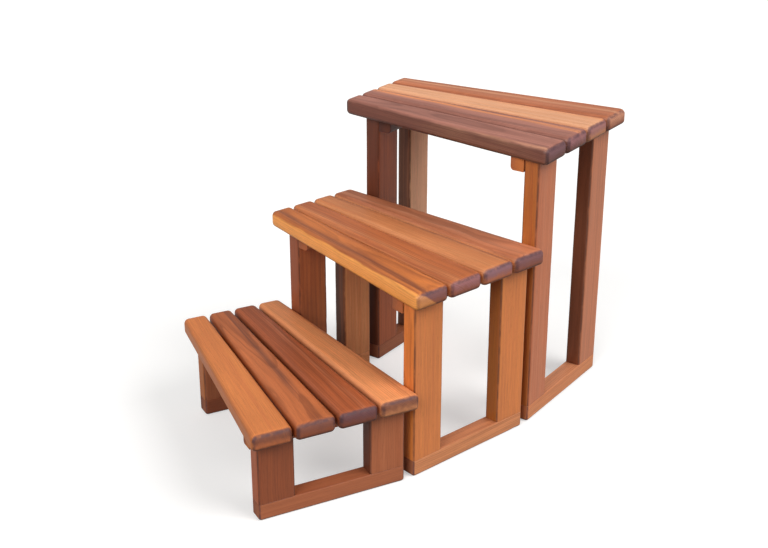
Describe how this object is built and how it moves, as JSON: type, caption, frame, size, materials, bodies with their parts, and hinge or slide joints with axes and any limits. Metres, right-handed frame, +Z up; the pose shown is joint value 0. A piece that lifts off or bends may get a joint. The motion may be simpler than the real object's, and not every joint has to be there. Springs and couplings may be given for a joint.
{
  "type": "spa steps",
  "caption": "Slatted wooden step benches of rising height that stand side by side in a fan, as curved steps up to a round spa.",
  "frame": {"origin": "On the floor, at the middle of the underside of the middle bench's outer bottom rail.", "axes": "+X runs along that rail towards the high bench, +Y towards the tub, +Z up. The low bench is at -X, and people step up from -X to +X."},
  "size_m": [1.0258, 0.6001, 0.634],
  "materials": {
    "low_slat_1": "oiled western red cedar, satin",
    "low_slat_2": "oiled western red cedar, satin",
    "low_slat_3": "oiled western red cedar, satin",
    "low_slat_4": "oiled western red cedar, satin",
    "low_rails": "oiled western red cedar, satin",
    "low_posts": "oiled western red cedar, satin",
    "low_cleats": "oiled western red cedar, satin",
    "middle_slat_1": "oiled western red cedar, satin",
    "middle_slat_2": "oiled western red cedar, satin",
    "middle_slat_3": "oiled western red cedar, satin",
    "middle_slat_4": "oiled western red cedar, satin",
    "middle_rails": "oiled western red cedar, satin",
    "middle_posts": "oiled western red cedar, satin",
    "middle_cleats": "oiled western red cedar, satin",
    "high_slat_1": "oiled western red cedar, satin",
    "high_slat_2": "oiled western red cedar, satin",
    "high_slat_3": "oiled western red cedar, satin",
    "high_slat_4": "oiled western red cedar, satin",
    "high_rails": "oiled western red cedar, satin",
    "high_posts": "oiled western red cedar, satin",
    "high_cleats": "oiled western red cedar, satin",
    "screws": "bare stainless steel"
  },
  "bodies": {
    "root": {"low_slat_1": "low_slat_1", "low_slat_1_outer_screw": "screws", "low_slat_1_tub_screw": "screws", "low_slat_2": "low_slat_2", "low_slat_2_outer_screw": "screws", "low_slat_2_tub_screw": "screws", "low_slat_3": "low_slat_3", "low_slat_3_outer_screw": "screws", "low_slat_3_tub_screw": "screws", "low_slat_4": "low_slat_4", "low_slat_4_outer_screw": "screws", "low_slat_4_tub_screw": "screws", "low_outer_rail": "low_rails", "low_outer_post_left": "low_posts", "low_outer_post_right": "low_posts", "low_outer_cleat": "low_cleats", "low_tub_rail": "low_rails", "low_tub_post_left": "low_posts", "low_tub_post_right": "low_posts", "low_tub_cleat": "low_cleats", "middle_slat_1": "middle_slat_1", "middle_slat_1_outer_screw": "screws", "middle_slat_1_tub_screw": "screws", "middle_slat_2": "middle_slat_2", "middle_slat_2_outer_screw": "screws", "middle_slat_2_tub_screw": "screws", "middle_slat_3": "middle_slat_3", "middle_slat_3_outer_screw": "screws", "middle_slat_3_tub_screw": "screws", "middle_slat_4": "middle_slat_4", "middle_slat_4_outer_screw": "screws", "middle_slat_4_tub_screw": "screws", "middle_outer_rail": "middle_rails", "middle_outer_post_left": "middle_posts", "middle_outer_post_right": "middle_posts", "middle_outer_cleat": "middle_cleats", "middle_tub_rail": "middle_rails", "middle_tub_post_left": "middle_posts", "middle_tub_post_right": "middle_posts", "middle_tub_cleat": "middle_cleats", "high_slat_1": "high_slat_1", "high_slat_1_outer_screw": "screws", "high_slat_1_tub_screw": "screws", "high_slat_2": "high_slat_2", "high_slat_2_outer_screw": "screws", "high_slat_2_tub_screw": "screws", "high_slat_3": "high_slat_3", "high_slat_3_outer_screw": "screws", "high_slat_3_tub_screw": "screws", "high_slat_4": "high_slat_4", "high_slat_4_outer_screw": "screws", "high_slat_4_tub_screw": "screws", "high_outer_rail": "high_rails", "high_outer_post_left": "high_posts", "high_outer_post_right": "high_posts", "high_outer_cleat": "high_cleats", "high_tub_rail": "high_rails", "high_tub_post_left": "high_posts", "high_tub_post_right": "high_posts", "high_tub_cleat": "high_cleats"}
  },
  "joints": []
}
